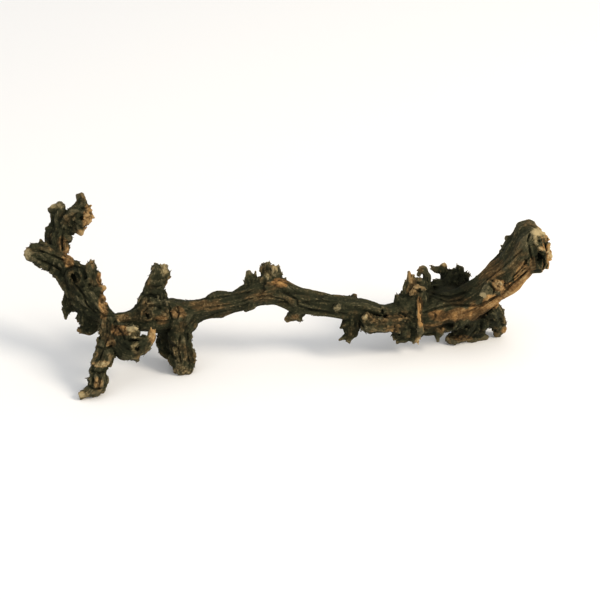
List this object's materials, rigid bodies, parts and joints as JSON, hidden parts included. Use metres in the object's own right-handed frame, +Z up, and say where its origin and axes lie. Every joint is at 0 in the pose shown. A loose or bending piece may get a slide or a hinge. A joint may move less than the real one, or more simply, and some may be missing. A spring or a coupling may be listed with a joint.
{
  "type": "driftwood piece",
  "caption": "Gnarled driftwood branch: thick torn butt, bent stem, forked arm, pruned spurs, knots and root stubs; lies on its stubs.",
  "frame": {"origin": "on the surface the piece lies on, under the middle of its bounding box", "axes": "+X along the piece towards its thick butt, +Y away from the side seen in the picture, +Z up"},
  "size_m": [0.7926, 0.2384, 0.2321],
  "materials": {
    "wood": "weathered bare wood with bark in its grooves, dark olive brown, matt and deeply grained"
  },
  "bodies": {
    "root": {"driftwood": "wood"}
  },
  "joints": []
}
